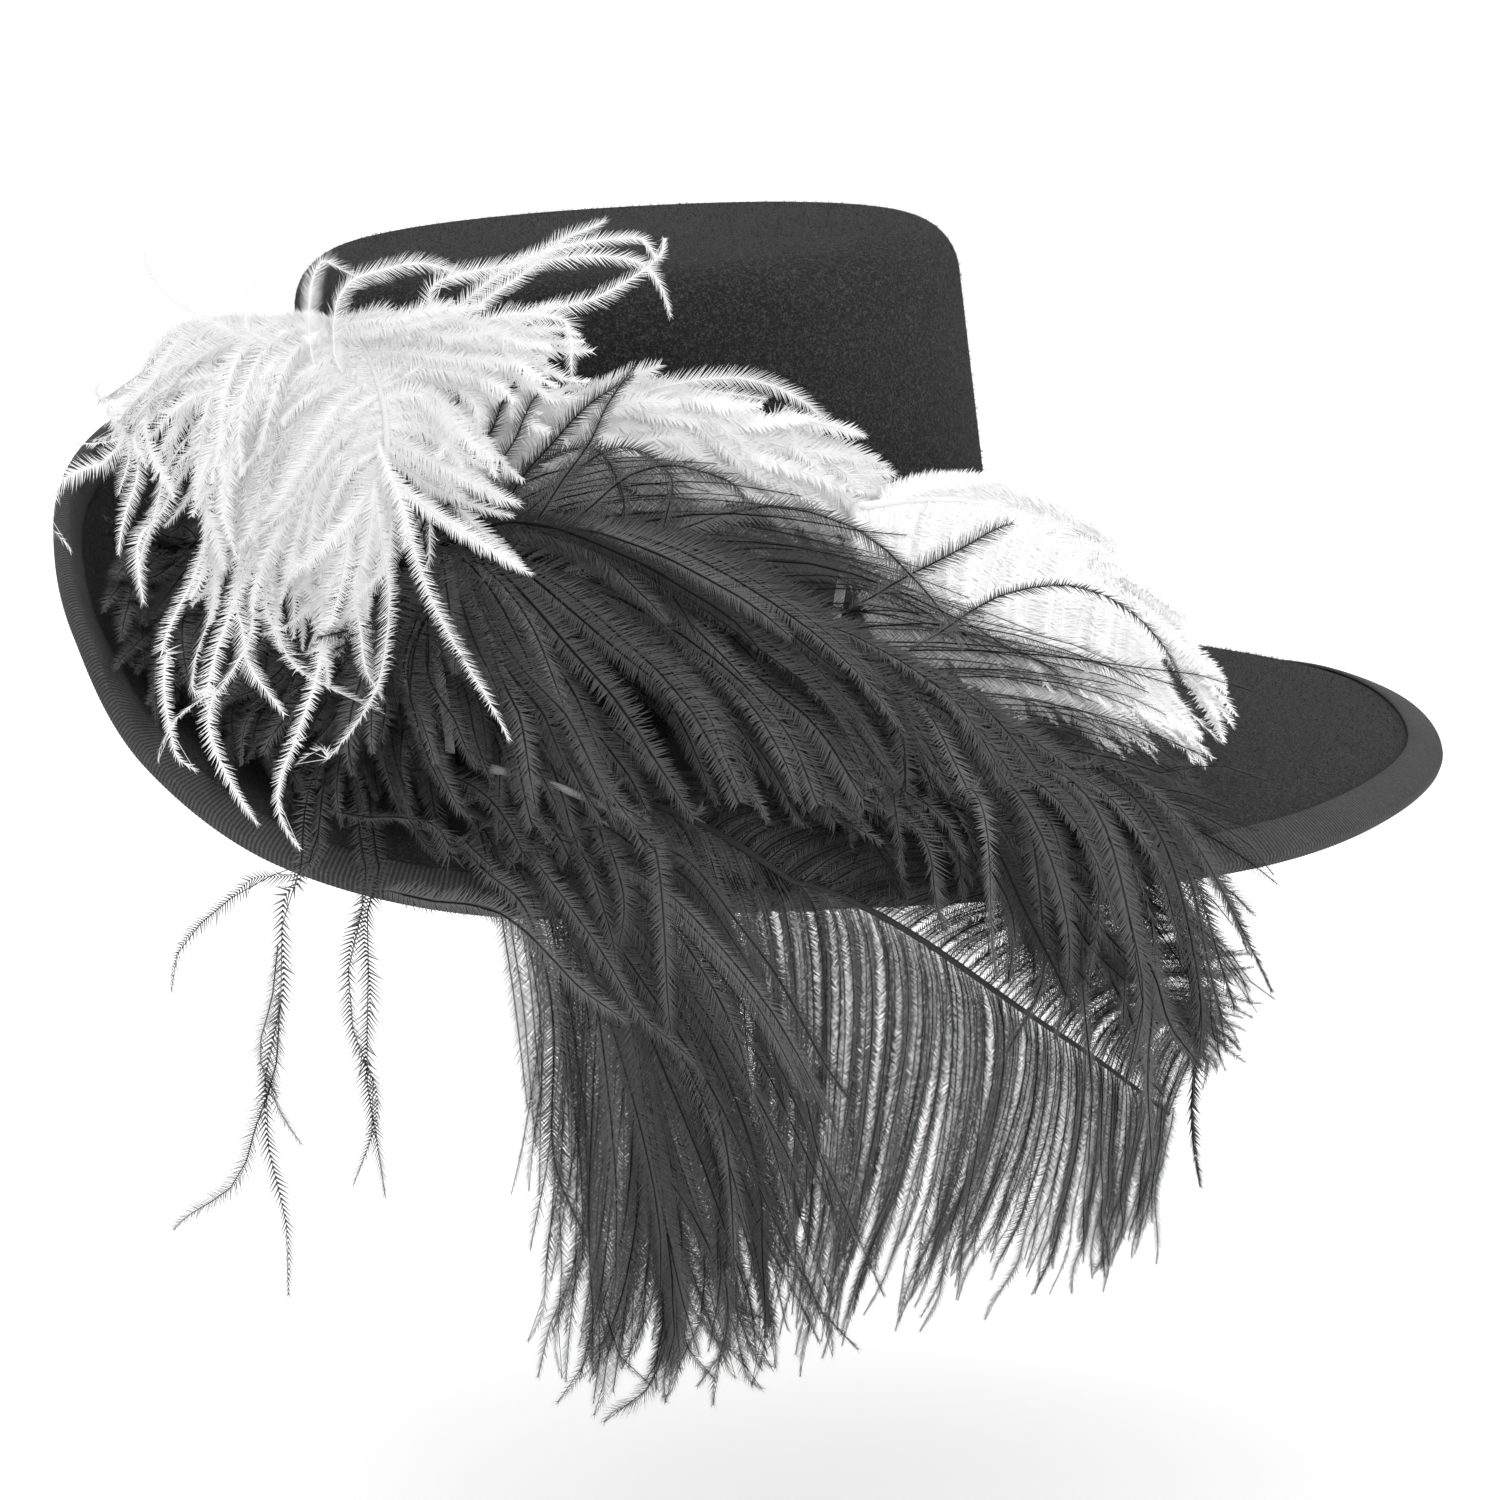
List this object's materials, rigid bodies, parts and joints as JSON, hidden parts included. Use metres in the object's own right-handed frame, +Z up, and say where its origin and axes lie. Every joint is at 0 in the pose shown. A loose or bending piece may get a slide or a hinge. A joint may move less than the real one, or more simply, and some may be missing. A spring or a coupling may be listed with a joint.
{
  "type": "cavalier hat",
  "caption": "Wide-brimmed felt cavalier hat with a flat-topped crown, a brim cocked up at the front, a ribbon-bound edge and white and black ostrich plumes sweeping back over the left side.",
  "frame": {"origin": "centre of the head opening, in the plane where crown and brim meet", "axes": "+Z up through the crown, +X towards the back of the hat, -Y towards the wearer's left, where the plumes are"},
  "size_m": [0.3884, 0.4241, 0.2754],
  "materials": {
    "felt": "matte brushed wool felt with a short nap",
    "ribbon": "ribbed grosgrain ribbon with a soft sheen",
    "white_feather": "soft matte ostrich barbs with fringed edges",
    "black_feather": "soft dyed ostrich barbs with a slight sheen"
  },
  "bodies": {
    "root": {"felt_hat_body": "felt", "brim_binding": "ribbon", "white_plume_side": "white_feather", "white_plume_back": "white_feather", "white_plume_front": "white_feather", "black_plume_brim": "black_feather", "black_plume_lower": "black_feather", "black_plume_drop": "black_feather", "black_plume_upper": "black_feather"}
  },
  "joints": []
}
